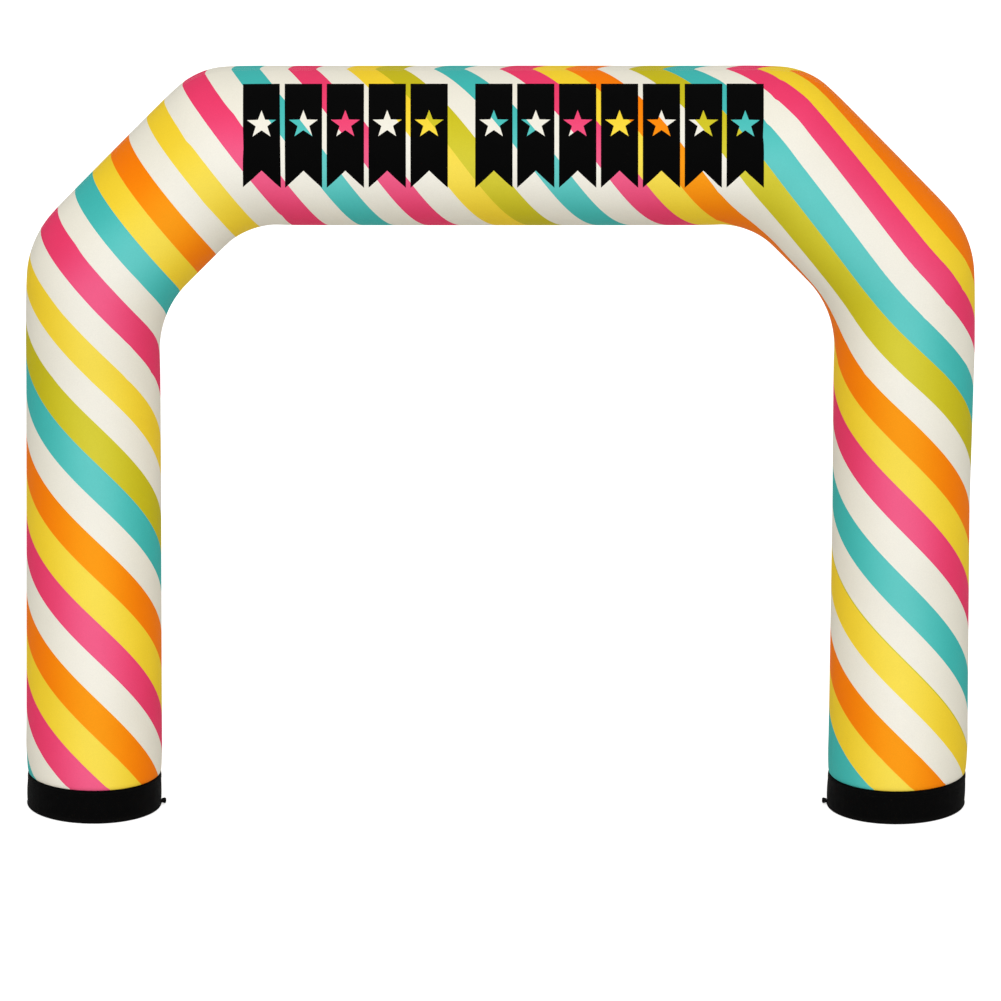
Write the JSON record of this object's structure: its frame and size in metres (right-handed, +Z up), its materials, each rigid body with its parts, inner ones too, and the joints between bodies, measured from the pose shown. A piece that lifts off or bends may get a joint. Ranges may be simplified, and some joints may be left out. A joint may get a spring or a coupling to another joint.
{
  "type": "inflatable entrance arch",
  "caption": "Air-filled entrance arch of striped coated polyester: upright legs, slanting shoulders and a level beam, standing on flat black base cuffs.",
  "frame": {"origin": "on the ground, at the centre of the arch's width and depth", "axes": "+X across the arch towards the right leg as seen from the front, -Y out of its printed front, +Z up"},
  "size_m": [5.006, 0.842, 4.061],
  "materials": {
    "striped_polyester": "coated polyester with a faint sheen, printed in diagonal stripes of cream, pink, yellow, orange, teal and olive, with a black motif on the beam",
    "black_base_cloth": "dull black coated cloth",
    "black_webbing": "dull black woven webbing"
  },
  "bodies": {
    "root": {"envelope": "striped_polyester", "cuff_left": "black_base_cloth", "cuff_right": "black_base_cloth", "tab_left": "black_webbing", "tab_right": "black_webbing"}
  },
  "joints": []
}
